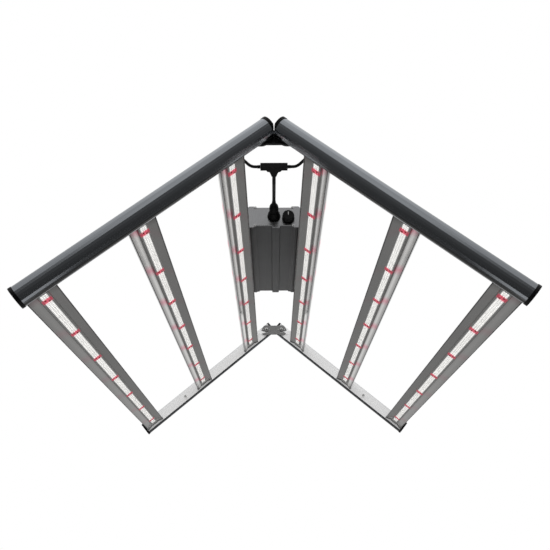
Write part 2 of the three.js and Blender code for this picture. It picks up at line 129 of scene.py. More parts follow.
class Shape:
    """Closed bodies gathered into one mesh."""

    def __init__(self):
        self.points = []
        self.faces = []
        self.looks = []

    def skin(self, rings, at=Matrix.Identity(4), look=0, closed=False):
        """Joins rings of points that run anticlockwise, and caps the two ends."""
        first, n = len(self.points), len(rings[0])
        for ring in rings:
            self.points += [at @ Vector(p) for p in ring]
        count = len(rings)
        for i in range(count if closed else count - 1):
            low, high = first + i * n, first + (i + 1) % count * n
            for j in range(n):
                k = (j + 1) % n
                self.faces.append((low + j, low + k, high + k, high + j))
                self.looks.append(look)
        if not closed:
            self.faces.append(tuple(first + j for j in reversed(range(n))))
            self.faces.append(tuple(first + (count - 1) * n + j for j in range(n)))
            self.looks += [look, look]
        return self

    def turned(self, profile, at, sides=32, look=0):
        """Profile steps are (radius or shape of angle, height)."""
        rings = []
        for shape, height in profile:
            ring = []
            for k in range(sides):
                a = 2 * math.pi * k / sides
                r = shape(a) if callable(shape) else shape
                ring.append((r * math.cos(a), r * math.sin(a), height))
            rings.append(ring)
        return self.skin(rings, at, look)

    def slab(self, width, depth, height, at, corner=0.001, edge=0.0003, look=0):
        """A block with rounded corners and eased edges, standing on z = 0."""
        rings = []
        for inset, z in ((edge, 0), (0, edge), (0, height - edge), (edge, height)):
            outline = rounded(width - 2 * inset, depth - 2 * inset, max(corner - inset, 1e-5))
            rings.append([(x, y, z) for x, y in outline])
        return self.skin(rings, at, look)

    def copy(self, other, at):
        first = len(self.points)
        self.points += [at @ Vector(p) for p in other.points]
        self.faces += [tuple(first + i for i in face) for face in other.faces]
        self.looks += other.looks
        return self

    def make(self, name, materials, body=None, slot=None, angle=35):
        mesh = bpy.data.meshes.new(name)
        mesh.from_pydata([tuple(p) for p in self.points], [], self.faces)
        mesh.update()
        for material in materials:
            mesh.materials.append(material)
        mesh.polygons.foreach_set("material_index", self.looks)
        mesh.shade_smooth()
        mesh.set_sharp_from_angle(angle=math.radians(angle))
        piece = bpy.data.objects.new(name, mesh)
        bpy.context.scene.collection.objects.link(piece)
        if body:
            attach(piece, body)
        return piece


def smooth_route(points, spacing=0.004):
    """A smooth line through the points, in even steps."""
    points = [Vector(p) for p in points]
    line = []
    for i in range(len(points) - 1):
        a, b = points[i], points[i + 1]
        before = points[i - 1] if i else a * 2 - b
        after = points[i + 2] if i + 2 < len(points) else b * 2 - a
        reach = (b - a).length
        into = (b - before).normalized() * reach
        out = (after - a).normalized() * reach
        steps = max(2, round(reach / spacing))
        for k in range(steps):
            t = k / steps
            line.append(
                a * (2 * t**3 - 3 * t**2 + 1)
                + into * (t**3 - 2 * t**2 + t)
                + b * (3 * t**2 - 2 * t**3)
                + out * (t**3 - t**2)
            )
    line.append(points[-1])
    return line


def tube_rings(line, radius, sides=20):
    """Rings round a line, with no twist from one to the next."""
    ahead = (line[1] - line[0]).normalized()
    across = ahead.orthogonal().normalized()
    rings = []
    for i, centre in enumerate(line):
        before, after = line[max(i - 1, 0)], line[min(i + 1, len(line) - 1)]
        new_ahead = (after - before).normalized()
        across = ahead.rotation_difference(new_ahead) @ across
        across = (across - new_ahead * across.dot(new_ahead)).normalized()
        ahead = new_ahead
        other = ahead.cross(across)
        r = radius(i) if callable(radius) else radius
        angles = [2 * math.pi * k / sides for k in range(sides)]
        rings.append([centre + (across * math.cos(a) + other * math.sin(a)) * r for a in angles])
    return rings


# ------------------------------------------------------------------ materials


class Look:
    """A material built from nodes on the coordinates of the piece at rest."""

    def __init__(self, name, **constants):
        self.material = bpy.data.materials.new(name)
        self.material.use_nodes = True
        self.tree = self.material.node_tree
        self.shader = self.tree.nodes["Principled BSDF"]
        for socket, value in constants.items():
            self.shader.inputs[socket.replace("_", " ")].default_value = value
        self.rest = self.node("ShaderNodeTexCoord").outputs["Object"]

    def node(self, kind, inputs=None, **settings):
        made = self.tree.nodes.new(kind)
        for key, value in settings.items():
            setattr(made, key, value)
        for key, value in (inputs or {}).items():
            if isinstance(value, bpy.types.NodeSocket):
                self.tree.links.new(value, made.inputs[key])
            else:
                made.inputs[key].default_value = value
        return made

    def math(self, operation, *values):
        return self.node(
            "ShaderNodeMath", dict(enumerate(values)), operation=operation
        ).outputs[0]

    def axes(self, vector):
        parts = self.node("ShaderNodeSeparateXYZ", {0: vector})
        return parts.outputs[0], parts.outputs[1], parts.outputs[2]

    def vector(self, x, y, z):
        return self.node("ShaderNodeCombineXYZ", {0: x, 1: y, 2: z}).outputs[0]

    def stretched(self, vector, scale):
        return self.node("ShaderNodeMapping", {"Vector": vector, "Scale": scale}).outputs[0]

    def noise(self, vector, scale, detail=4.0, rough=0.55):
        inputs = {"Vector": vector, "Scale": scale, "Detail": detail, "Roughness": rough}
        return self.node("ShaderNodeTexNoise", inputs).outputs["Fac"]

    def spread(self, value, low, high, start=0.3, end=0.7):
        inputs = {0: value, 1: start, 2: end, 3: low, 4: high}
        return self.node("ShaderNodeMapRange", inputs).outputs[0]

    def mix(self, amount, first, second, blend="MIX"):
        inputs = {0: amount, 6: self.colour(first), 7: self.colour(second)}
        made = self.node("ShaderNodeMix", inputs, data_type="RGBA", blend_type=blend)
        return made.outputs[2]

    def colour(self, value):
        return value if isinstance(value, bpy.types.NodeSocket) else (*value, 1.0)

    def bump(self, height, strength, distance, normal=None):
        inputs = {"Height": height, "Strength": strength, "Distance": distance}
        if normal:
            inputs["Normal"] = normal
        return self.node("ShaderNodeBump", inputs).outputs[0]

    def edges(self, radius, start=0.01, end=0.2):
        """1 on convex and concave edges, 0 on the flats."""
        soft = self.node("ShaderNodeBevel", {"Radius": radius}, samples=4).outputs[0]
        true = self.node("ShaderNodeNewGeometry").outputs["Normal"]
        same = self.node("ShaderNodeVectorMath", {0: soft, 1: true}, operation="DOT_PRODUCT")
        bend = self.math("SUBTRACT", 1.0, same.outputs["Value"])
        return self.spread(bend, 0.0, 1.0, start, end)

    def along_wing(self):
        """Distance out along the wing, y, and height above it, the same on both wings."""
        x, y, z = self.axes(self.rest)
        out = self.math("SUBTRACT", self.math("ABSOLUTE", x), PIVOT_X)
        rise = self.math("SUBTRACT", z, PIVOT_Z)
        c, s = math.cos(FOLD), math.sin(FOLD)
        along = self.math("SUBTRACT", self.math("MULTIPLY", out, c), self.math("MULTIPLY", rise, s))
        height = self.math("ADD", self.math("MULTIPLY", out, s), self.math("MULTIPLY", rise, c))
        return along, y, height

    def set(self, **links):
        for name, value in links.items():
            socket = self.shader.inputs[name.replace("_", " ")]
            if isinstance(value, bpy.types.NodeSocket):
                self.tree.links.new(value, socket)
            else:
                socket.default_value = value
        return self


def anodised(
    name, dark, light, rough, grain,
    wing=False, metallic=1.0, wear=None, lines=0.03,
    end_shade=0.0, rim=0.0, spill=0.0, under=0.0, lit=0.0,
):
    """Extruded aluminium: fine drawing lines along it, soft clouding and lightly rubbed edges.
    end_shade is the strength of painted shade that darkens the last few centimetres at both
    ends of a bar, where the bar meets the rails. rim is the tone of the cut lips along a bar,
    and spill is the strength of a painted glowing band on the outer side of a bar, standing in
    for the LEDs' own light that it catches. under is the tone of painted shade on a rail's crop
    side past the hinge. lit is the strength of a painted glow, an even emission standing in for
    the light that a wall facing the LEDs gives back."""
    # lit sets a painted glow: an even white emission on the surface
    glow_white = (1.0, 1.0, 1.0, 1.0)
    look = Look(name, Metallic=metallic, Emission_Color=glow_white, Emission_Strength=lit)
    place = look.vector(*look.along_wing()) if wing else look.rest
    cloud = look.noise(place, 9, 5)
    drawn = look.noise(look.stretched(place, grain), 1.0, 3)
    speck = look.noise(place, 1400, 2)
    tone = look.mix(look.spread(cloud, 0, 1), dark, light)
    tone = look.mix(look.spread(drawn, 0.0, 0.35), tone, light)
    rough_value = look.spread(look.math("ADD", drawn, look.spread(cloud, -0.08, 0.08)), *rough)
    if wear:
        rubbed = look.spread(look.noise(place, 160), 0, 1)
        tone = look.mix(look.math("MULTIPLY", look.edges(0.0006), rubbed), tone, wear)
    # painted shade: the rail is painted darker towards its outer end, and darker still on its crop side
    # past the hinge
    if under:
        out, _, height = look.axes(place)
        crop_side = look.spread(height, 1.0, 0.0, -0.0197, -0.0188)
        past_hinge = look.spread(out, 0.0, 1.0, 0.075, 0.12)
        tone = look.mix(look.spread(out, 0.0, 0.4, 0.1, 0.55), tone, (0.2, 0.21, 0.225))
        painted_underside_shade = look.math("MULTIPLY", crop_side, past_hinge)
        tone = look.mix(painted_underside_shade, tone, (under, under, under))
    if rim:
        tone = bar_sides(look, place, tone, rim, spill)
    # painted shade: the metal is painted darker over the last few centimetres at both ends, where the
    # bar meets the rails
    if end_shade:
        _, y, _ = look.axes(place)
        painted_end_shade = look.spread(look.math("ABSOLUTE", y), 0.0, end_shade, 0.508, 0.534)
        tone = look.mix(painted_end_shade, tone, (0.05, 0.045, 0.042))
    height = look.math("ADD", drawn, look.math("MULTIPLY", speck, 0.2))
    look.set(Base_Color=tone, Roughness=rough_value, Normal=look.bump(height, lines, 0.0004))
    return look.material


def bar_sides(look, place, tone, rim, spill):
    """Painted light from the LEDs on the outer side of a bar, and the cut lips: a painted pink
    reflection beside each red cluster, in the colour and as a glow, and a painted glowing band standing
    in for the LED strip's reflection.
    """
    out, y, _ = look.axes(place)
    across = look.math("SUBTRACT", out, BARS["inner"])
    across = look.math("WRAP", across, BAR_PITCH / 2, -BAR_PITCH / 2)
    slant = look.math("MULTIPLY", across, 1.3)
    # painted reflection of the red clusters: a pink tint in the colour, and a pink glow, beside each one
    red = look.math("ADD", look.math("SUBTRACT", y, RED_FIRST), slant)
    red = look.math("ABSOLUTE", look.math("WRAP", red, RED_PITCH / 2, -RED_PITCH / 2))
    pink = look.spread(red, 1.0, 0.0, 0.002, 0.026)
    pink = look.math("MULTIPLY", pink, look.spread(across, 0.12, 0.8, -0.005, 0.012))
    pink = look.math("MULTIPLY", pink, look.spread(out, 1.0, 0.3, 0.34, 0.44))
    tone = look.mix(pink, tone, (0.62, 0.27, 0.33))
    glow = look.mix(pink, (1.0, 0.99, 0.97), (1.0, 0.35, 0.45))
    # painted reflection of the LED strip: a glowing band along the middle of the outer side
    middle = look.math("ABSOLUTE", look.math("SUBTRACT", across, 0.0180))
    painted_strip_glow = look.spread(middle, spill, 0.0, 0.0004, 0.0072)
    painted_strip_glow = look.math("MULTIPLY", painted_strip_glow, look.spread(out, 1.0, 0.1, 0.34, 0.44))
    look.set(Emission_Color=glow, Emission_Strength=painted_strip_glow)
    lips = look.spread(look.math("ABSOLUTE", across), 0.0, 1.0, 0.0268, 0.0276)
    return look.mix(lips, tone, (rim, rim, rim))


def moulded(
    name, dark, light, rough, texture=2200, depth=0.12, wear=(0.05, 0.05, 0.052), specular=0.25,
):
    """Moulded plastic: spark-eroded texture, faint dust and scuffed edges."""
    look = Look(name, Specular_IOR_Level=specular)
    cloud = look.noise(look.rest, 35, 5)
    grit = look.noise(look.rest, texture, 3)
    tone = look.mix(look.spread(cloud, 0, 1), dark, light)
    scuffs = look.spread(look.noise(look.rest, 220), 0, 1)
    tone = look.mix(look.math("MULTIPLY", look.edges(0.0005), scuffs), tone, wear)
    rough_value = look.math("ADD", look.spread(cloud, *rough), look.math("MULTIPLY", grit, 0.08))
    look.set(Base_Color=tone, Roughness=rough_value, Normal=look.bump(grit, depth, 0.0003))
    return look.material


def powder_coated(name, dark, light, rough, wear):
    """Powder coat on sheet metal: orange peel, and bare metal showing on the edges."""
    look = Look(name)
    cloud = look.noise(look.rest, 22, 5)
    peel = look.noise(look.rest, 520, 2, 0.4)
    fine = look.noise(look.rest, 1900, 2)
    chips = look.spread(look.noise(look.rest, 300), 0, 1, 0.5, 0.62)
    chips = look.math("MULTIPLY", look.edges(0.0007), chips)
    tone = look.mix(chips, look.mix(look.spread(cloud, 0, 1), dark, light), wear)
    height = look.math("ADD", peel, look.math("MULTIPLY", fine, 0.4))
    look.set(
        Base_Color=tone,
        Metallic=look.math("MULTIPLY", chips, 0.9),
        Roughness=look.math("SUBTRACT", look.spread(peel, *rough), look.math("MULTIPLY", chips, 0.15)),
        Normal=look.bump(height, 0.16, 0.0005),
    )
    return look.material


def plated_steel(name, dark, light, rough):
    """Zinc-plated steel with turning marks and a little tarnish."""
    look = Look(name, Metallic=1.0)
    cloud = look.noise(look.rest, 240, 5)
    marks = look.noise(look.stretched(look.rest, (1500, 6000, 1500)), 1.0, 2)
    tone = look.mix(look.spread(cloud, 0, 1), dark, light)
    tone = look.mix(look.edges(0.0003), tone, (0.9, 0.9, 0.9))
    look.set(
        Base_Color=tone,
        Roughness=look.spread(cloud, *rough),
        Normal=look.bump(marks, 0.08, 0.0002),
    )
    return look.material


def cable_jacket():
    look = Look("cable_jacket", Specular_IOR_Level=0.2)
    cloud = look.noise(look.rest, 60, 4)
    grit = look.noise(look.rest, 2600, 3)
    scuff = look.noise(look.stretched(look.rest, (400, 60, 400)), 1.0, 4)
    tone = look.mix(look.spread(cloud, 0, 1), (0.003, 0.003, 0.0033), (0.007, 0.007, 0.0075))
    tone = look.mix(look.spread(scuff, 0.0, 0.5, 0.55, 0.75), tone, (0.025, 0.025, 0.026))
    rough_value = look.math("ADD", look.spread(scuff, 0.34, 0.5), look.math("MULTIPLY", grit, 0.06))
    look.set(Base_Color=tone, Roughness=rough_value, Normal=look.bump(grit, 0.08, 0.0003))
    return look.material


def led_board():
    """White solder mask with the copper runs showing faintly through it; the light of its own LEDs is
    painted on it as a glow, with a painted red tint and red glow around each red cluster.
    """
    look = Look("led_board_mask")
    along, y, _ = look.along_wing()
    across = look.math("SUBTRACT", along, BARS["inner"])
    across = look.math("WRAP", across, BAR_PITCH / 2, -BAR_PITCH / 2)
    step = look.math("SUBTRACT", y, LED_NEAR)
    step = look.math("ABSOLUTE", look.math("WRAP", step, LED_PITCH / 2, -LED_PITCH / 2))
    red = look.math("SUBTRACT", y, RED_FIRST)
    red = look.math("ABSOLUTE", look.math("WRAP", red, RED_PITCH / 2, -RED_PITCH / 2))
    row = look.math("ABSOLUTE", look.math("WRAP", across, ROW_PITCH / 2, -ROW_PITCH / 2))
    off_row = look.math("ABSOLUTE", across)
    between_rows = look.spread(row, 0.0, 1.0, 0.00155, 0.0019)
    pads = look.spread(step, 1.0, 0.0, 0.0002, 0.0004)
    margin = look.spread(off_row, 0.0, 1.0, 0.0062, 0.0070)
    middle = (LED_NEAR + LED_FAR) / 2
    past_end = look.math("ABSOLUTE", look.math("SUBTRACT", y, middle))
    past_end = look.spread(past_end, 0.0, 1.0, 0.5128, 0.5135)
    cloud = look.noise(look.rest, 45, 5)
    fine = look.noise(look.rest, 1500, 3)
    tone = look.mix(look.spread(cloud, 0, 1), (0.66, 0.66, 0.64), (0.78, 0.78, 0.76))
    tone = look.mix(look.math("MULTIPLY", pads, 0.3), tone, (0.42, 0.44, 0.43))
    tone = look.mix(look.math("MULTIPLY", between_rows, 0.8), tone, (0.30, 0.30, 0.30))
    tone = look.mix(margin, tone, (0.25, 0.25, 0.245))
    # painted light: the mask is tinted red and glows red around each red cluster
    painted_red_light = look.spread(red, 1.0, 0.0, 0.0048, 0.0098)
    tone = look.mix(look.math("MULTIPLY", painted_red_light, 0.9), tone, (0.62, 0.10, 0.14))
    glow = look.mix(painted_red_light, (1.0, 0.99, 0.97), (1.0, 0.10, 0.18))
    # painted glow: the mask itself emits along the rows, less between the rows and on the margins, and
    # not past the ends of the rows
    lit = look.spread(painted_red_light, 0.85, 0.5, 0, 1)
    lit = look.math("SUBTRACT", lit, look.math("MULTIPLY", between_rows, 0.34))
    lit = look.math("MULTIPLY", lit, look.math("SUBTRACT", 1.0, margin))
    dim = look.math("MULTIPLY", look.spread(painted_red_light, 0.05, 0.2, 0, 1), margin)
    lit = look.math("ADD", lit, dim)
    lit = look.math("MULTIPLY", lit, look.math("SUBTRACT", 1.0, past_end))
    lit = look.math("MULTIPLY", lit, look.spread(cloud, 0.92, 1.08))
    height = look.math("ADD", fine, look.math("MULTIPLY", pads, 1.5))
    look.set(
        Base_Color=tone,
        Roughness=look.spread(fine, 0.34, 0.48),
        Emission_Color=glow,
        Emission_Strength=lit,
        Normal=look.bump(height, 0.1, 0.0002),
    )
    return look.material


def led_lens(name, dark, light, strength):
    """Phosphor under clear silicone: grainy, a little brighter in the middle of some chips."""
    look = Look(name, Coat_Weight=0.4, Coat_Roughness=0.12)
    grains = look.noise(look.rest, 3200, 3)
    batch = look.noise(look.rest, 70, 2)
    tone = look.mix(look.spread(grains, 0, 1), dark, light)
    power = look.math("MULTIPLY", look.spread(batch, 0.88, 1.1), strength)
    look.set(
        Base_Color=tone,
        Roughness=look.spread(grains, 0.25, 0.4),
        Emission_Color=tone,
        Emission_Strength=power,
        Normal=look.bump(grains, 0.1, 0.0001),
    )
    return look.material


def driver_skin():
    """Dark anodised housing with extruded ribs on its two sides, the grooves between them painted dark
    as shade, and painted lighter towards the far end as a gradient of light.
    """
    look = Look("driver_skin", Metallic=0.55)
    _, y, z = look.axes(look.rest)
    cloud = look.noise(look.rest, 16, 5)
    drawn = look.noise(look.stretched(look.rest, (900, 5, 900)), 1.0, 3)
    tone = look.mix(look.spread(cloud, 0, 1), (0.105, 0.107, 0.109), (0.130, 0.132, 0.134))
    # painted light: the housing is painted lighter towards the far end
    tone = look.mix(look.spread(y, 0.0, 1.0, -0.19, 0.19), tone, (0.25, 0.251, 0.253))
    worn = look.math("MULTIPLY", look.edges(0.0008), look.spread(look.noise(look.rest, 120), 0, 0.8))
    tone = look.mix(worn, tone, (0.17, 0.17, 0.175))
    side = look.axes(look.node("ShaderNodeNewGeometry").outputs["True Normal"])[0]
    side = look.math("GREATER_THAN", look.math("ABSOLUTE", side), 0.9)
    # painted shade: the grooves between the side ribs are painted dark as well as bumped
    rib_groove_and_shade = look.math("ABSOLUTE", look.math("WRAP", z, 0.002, -0.002))
    rib_groove_and_shade = look.math("MULTIPLY", look.spread(rib_groove_and_shade, 0.0, 1.0, 0.0012, 0.0016), side)
    tone = look.mix(look.math("MULTIPLY", rib_groove_and_shade, 0.5), tone, (0.02, 0.02, 0.022))
    first = look.bump(drawn, 0.06, 0.0004)
    look.set(
        Base_Color=tone,
        Roughness=look.spread(drawn, 0.36, 0.5),
        Normal=look.bump(look.math("SUBTRACT", 1.0, rib_groove_and_shade), 0.6, 0.0006, first),
    )
    return look.material


def circuit_board():
    look = Look("green_board", Coat_Weight=0.3, Coat_Roughness=0.2)
    fine = look.noise(look.rest, 900, 3)
    grid = {"Vector": look.rest, "Scale": 260}
    cells = look.node("ShaderNodeTexVoronoi", grid, distance="CHEBYCHEV")
    tracks = look.spread(cells.outputs["Distance"], 0.0, 1.0, 0.28, 0.34)
    tone = look.mix(tracks, (0.012, 0.075, 0.03), (0.02, 0.12, 0.05))
    look.set(
        Base_Color=tone,
        Roughness=look.spread(fine, 0.3, 0.45),
        Normal=look.bump(tracks, 0.2, 0.0002),
    )
    return look.material


ALONG_RAIL = (3, 900, 900)  # drawing lines run out along the wing
ALONG_BAR = (900, 3, 900)
# rail_slate: painted shade on the rails' crop side past the hinge, and towards their outer ends
SLATE = anodised(
    "rail_slate", (0.32, 0.34, 0.365), (0.36, 0.38, 0.405), (0.15, 0.2), ALONG_RAIL,
    wing=True, wear=(0.45, 0.45, 0.46), lines=0.004, under=0.13,
)
# the flat walls of the rails, and the arms of the hinge plates, carry a painted glow: an even emission
# standing in for the LEDs' light on them
RAIL_FLAT = anodised(
    "rail_flat", (0.86, 0.86, 0.86), (0.90, 0.90, 0.90), (0.38, 0.46), ALONG_RAIL,
    wing=True, metallic=0.25, lines=0.002, lit=0.28,
)
# bar_metal: painted shade at both ends, and painted reflections of the LEDs on the outer sides
BAR_METAL = anodised(
    "bar_metal", (0.50, 0.495, 0.485), (0.54, 0.535, 0.525), (0.13, 0.17), ALONG_BAR,
    wing=True, lines=0.004, end_shade=0.5, rim=0.2, spill=0.24,
)
TUBE_METAL = anodised(
    "tube_metal", (0.40, 0.40, 0.40), (0.5, 0.5, 0.5), (0.3, 0.42), ALONG_BAR, wear=(0.7, 0.7, 0.7),
)
PLATE_METAL = anodised(
    "end_plate_metal", (0.37, 0.373, 0.382), (0.40, 0.403, 0.412), (0.22, 0.27), (900, 900, 6),
    metallic=0.75, wear=(0.55, 0.55, 0.55), lines=0.004,
)
GREY_COAT = powder_coated(
    "grey_coat", (0.27, 0.27, 0.27), (0.31, 0.31, 0.308), (0.42, 0.56), (0.5, 0.5, 0.5),
)
# plain black for the outward faces and edges of the hinge plates
BLACK_FACES = powder_coated(
    "black_faces", (0.003, 0.003, 0.0032), (0.006, 0.006, 0.0064), (0.5, 0.62), (0.02, 0.02, 0.02),
)
STRAP_COAT = powder_coated(
    "strap_coat", (0.10, 0.10, 0.102), (0.14, 0.14, 0.142), (0.42, 0.56), (0.5, 0.5, 0.5),
)
CAP_PLASTIC = moulded(
    "cap_plastic", (0.002, 0.002, 0.0022), (0.005, 0.005, 0.0055), (0.36, 0.5),
    wear=(0.04, 0.04, 0.042), specular=0.18,
)
PART_PLASTIC = moulded(
    "part_plastic", (0.0018, 0.0018, 0.002), (0.004, 0.004, 0.0044), (0.4, 0.54), specular=0.14,
)
KNOB_PLASTIC = moulded(
    "knob_plastic", (0.002, 0.002, 0.0022), (0.005, 0.005, 0.0055), (0.3, 0.42), 1500, 0.06,
    specular=0.16,
)
MARK_PAINT = moulded(
    "mark_paint", (0.72, 0.72, 0.7), (0.82, 0.82, 0.8), (0.4, 0.5), 1800, 0.05, (0.6, 0.6, 0.6),
)
STEEL = plated_steel("plated_steel", (0.72, 0.72, 0.71), (0.84, 0.84, 0.83), (0.24, 0.36))
DARK_STEEL = plated_steel("dark_steel", (0.035, 0.035, 0.036), (0.07, 0.07, 0.07), (0.35, 0.5))
BRASS = plated_steel("brass", (0.55, 0.38, 0.14), (0.7, 0.5, 0.2), (0.2, 0.32))
JACKET = cable_jacket()
BOARD_MASK = led_board()
PHOSPHOR = led_lens("phosphor", (1.0, 0.97, 0.92), (1.0, 0.99, 0.97), 1.0)
RED_LENS = led_lens("red_lens", (0.38, 0.004, 0.016), (0.55, 0.010, 0.03), 0.25)
CHIP_CASE = moulded(
    "chip_case", (0.86, 0.86, 0.85), (0.93, 0.93, 0.92), (0.35, 0.45), 3000, 0.05, (0.9, 0.9, 0.9),
)
DRIVER_SKIN = driver_skin()
GREEN_BOARD = circuit_board()


# ------------------------------------------------------------------ leads


LEAD_RADIUS, ARM_RADIUS = 0.0040, 0.0032
LEAD_ROUTE = [
    (0, -0.2501, -0.0323), (0, -0.2618, -0.0323), (0, -0.2898, -0.0373), (0, -0.3347, -0.0477),
    (0, -0.3715, -0.0561), (0, -0.3935, -0.0551), (0, -0.4032, -0.0551),
]
ARM_ROUTE = [
    (0.0288, -0.432, -0.0551), (0.037, -0.432, -0.0551), (0.045, -0.4326, -0.0548),
    (0.052, -0.4362, -0.0534), (0.058, -0.4425, -0.0516), (0.065, -0.452, -0.0504),
    (0.0725, -0.4635, -0.0509), (0.0795, -0.474, -0.0548), (0.0855, -0.4825, -0.0633),
    (0.091, -0.4905, -0.0743), (0.0958, -0.498, -0.0858),
    (0.09804, -0.5044, -0.0936), (0.09804, -0.5094, -0.0936),
]


def make_leads():
    line = smooth_route(LEAD_ROUTE)
    lead = Shape().skin(tube_rings(line, LEAD_RADIUS)).make("lead_driver_jacket", [JACKET], slot="cable")
    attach(lead, "centre_frame")
    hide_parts("lead_driver_to_tee")
    for side, sign in SIGNS.items():
        line = smooth_route([(sign * x, y, z) for x, y, z in ARM_ROUTE])
        arm = Shape().skin(tube_rings(line, ARM_RADIUS))
        arm = arm.make(f"lead_{side}_jacket", [JACKET], slot="cable")
        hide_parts(f"lead_tee_to_{side}_wing")
        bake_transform(arm)


make_leads()


# ------------------------------------------------------------------ looks of the frame's own parts


def dress(nodes, material):
    for name in nodes:
        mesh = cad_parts[name].data
        mesh.materials.clear()
        mesh.materials.append(material)


def named(start):
    return [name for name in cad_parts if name.startswith(start)]


dress(named("rail_"), SLATE)
dress(named("rail_cap_"), CAP_PLASTIC)
dress(named("led_bar_"), BAR_METAL)
dress(named("led_board_"), BOARD_MASK)
dress(named("lead_junction_"), PART_PLASTIC)
dress(named("hanging_stud_") + named("hinge_pin_"), STEEL)
dress(named("hinge_plate_"), GREY_COAT)
dress(named("side_rail_"), TUBE_METAL)
dress(["driver_housing"], DRIVER_SKIN)
dress(named("driver_end_plate_"), PLATE_METAL)
dress(named("driver_strap_"), STRAP_COAT)
dress(["driver_circuit_board"], GREEN_BOARD)
dress(["output_socket", "plug_coupling_nut", "lead_plug", "lead_tee"], PART_PLASTIC)
dress(["mains_inlet", "data_port"], PART_PLASTIC)
dress(["dimmer_knob"], KNOB_PLASTIC)
dress(named("lead_driver_to_tee") + named("lead_tee_to_"), JACKET)

# The flat inner wall of each rail is bare metal
for side in SIGNS:
    for end, toward in ENDS.items():
        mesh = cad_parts[f"rail_{side}_{end}"].data
        mesh.materials.append(RAIL_FLAT)
        for face in mesh.polygons:
            if abs(face.center.y - toward * RAIL_INNER_WALL) < 0.0002 and abs(face.normal.y) > 0.9:
                face.material_index = 1


# The arms of the hinge plates are left bare too; their outer faces and edges are black
for end, toward in ENDS.items():
    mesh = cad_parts[f"hinge_plate_{end}"].data
    mesh.materials.append(RAIL_FLAT)
    mesh.materials.append(BLACK_FACES)
    for face in mesh.polygons:
        if abs(face.center.x) > 0.0449:
            face.material_index = 1
        elif face.normal.y * toward > -0.5:
            face.material_index = 2


# ------------------------------------------------------------------ LED bars


def led_chip():
    """A surface-mounted white LED, its window facing away from the board."""
    chip = Shape()
    up = Matrix.Identity(4)
    outer = rounded(0.0030, 0.0036, 0.0003, 1)
    window = rounded(0.0023, 0.0029, 0.0006, 1)
    floor = rounded(0.0019, 0.0025, 0.0005, 1)
    steps = [(outer, 0), (outer, 0.00068), (window, 0.00072)]
    chip.skin([[(x, y, z) for x, y in ring] for ring, z in steps], up)
    steps = [(window, 0.00070), (window, 0.00074), (floor, 0.00082)]
    chip.skin([[(x, y, z) for x, y in ring] for ring, z in steps], up, look=1)
    return chip


def red_chip():
    """A red LED under a round silicone dome."""
    chip = Shape()
    up = Matrix.Identity(4)
    chip.slab(0.0045, 0.0045, 0.0008, up, 0.0004, 0.0001, look=0)
    dome = [(0.0022, 0.0008)]
    for k in range(8):
        a = k / 8 * math.pi / 2
        dome.append((0.0021 * math.cos(a), 0.0008 + 0.0014 * math.sin(a)))
    chip.turned(dome + [(0.0001, 0.0022)], up, 20, look=1)
    return chip


def red_places():
    count = int((LED_FAR - RED_FIRST) / RED_PITCH) + 1
    return [RED_FIRST + RED_PITCH * k for k in range(count)]


def make_leds():
    white, red = led_chip(), red_chip()
    flip = Matrix.Rotation(math.pi, 4, "X")
    steps = int((LED_FAR - LED_NEAR) / LED_PITCH)
    for side, sign in SIGNS.items():
        wing = wing_frame(sign)
        for bar, along in BARS.items():
            whites, reds = Shape(), Shape()
            for i in range(steps + 1):
                y = LED_NEAR + LED_PITCH * i
                if min(abs(y - place) for place in red_places()) < 0.0085:
                    continue
                for row in (-1, 0, 1):
                    at = Matrix.Translation((sign * (along + row * ROW_PITCH), y, BOARD_FACE))
                    whites.copy(white, wing @ at @ flip)
            for place in red_places():
                for row in (-1, 1):
                    across = sign * (along + row * 0.0034)
                    at = Matrix.Translation((across, place - row * 0.0030, BOARD_FACE))
                    reds.copy(red, wing @ at @ flip)
            whites.make(f"white_leds_{side}_{bar}", [CHIP_CASE, PHOSPHOR], f"{side}_wing", "led_board")
            reds.make(f"red_leds_{side}_{bar}", [CHIP_CASE, RED_LENS], f"{side}_wing", "led_board")


def bar_outline(grow):
    """The crop side of a bar's section, moved out from the metal by grow."""
    half, lip, base = 0.02935, -0.0135, -0.0095
    right = [
        (half + grow, -0.0075), (half + grow, lip - grow), (half - 0.0022 - grow * 0.3, lip - grow),
        (0.0108 + grow * 0.2, -0.0079 - grow), (0.0102, base - grow),
    ]
    left = [(-x, z) for x, z in reversed(right)]
    return right + left


def make_end_brackets():
    """Black moulded shoes that close both ends of each bar against the rails."""
    for side, sign in SIGNS.items():
        wing = wing_frame(sign)
        for end, toward in ENDS.items():
            shoes = Shape()
            for along in BARS.values():
                near, far = sorted((toward * BAR_END, toward * (BAR_END - 0.003)))
                outer, inner = bar_outline(0.0006), bar_outline(0.00005)
                section = outer + inner[::-1]
                rings = [[(sign * along + x, y, z) for x, z in section] for y in (near, far)]
                shoes.skin(rings, wing)
            shoes.make(f"bar_shoes_{side}_{end}", [CAP_PLASTIC], f"{side}_wing", "end_cap")


make_leds()
make_end_brackets()


# ------------------------------------------------------------------ fixings and fittings


def screw(shape, at, radius=0.0032, height=0.0022, recess="cross"):
    """A pan-head screw, its head standing on z = 0."""
    socket = cross(radius * 0.62, radius * 0.2) if recess == "cross" else hexagon(radius * 0.48)
    mouth = radius * 0.7
    shape.turned(
        [
            (radius * 0.96, 0), (radius, height * 0.1), (radius * 0.98, height * 0.4),
            (radius * 0.86, height * 0.78), (mouth, height), (socket, height * 0.99),
            (socket, height * 0.4), (radius * 0.1, height * 0.3),
        ],
        at, 32,
    )


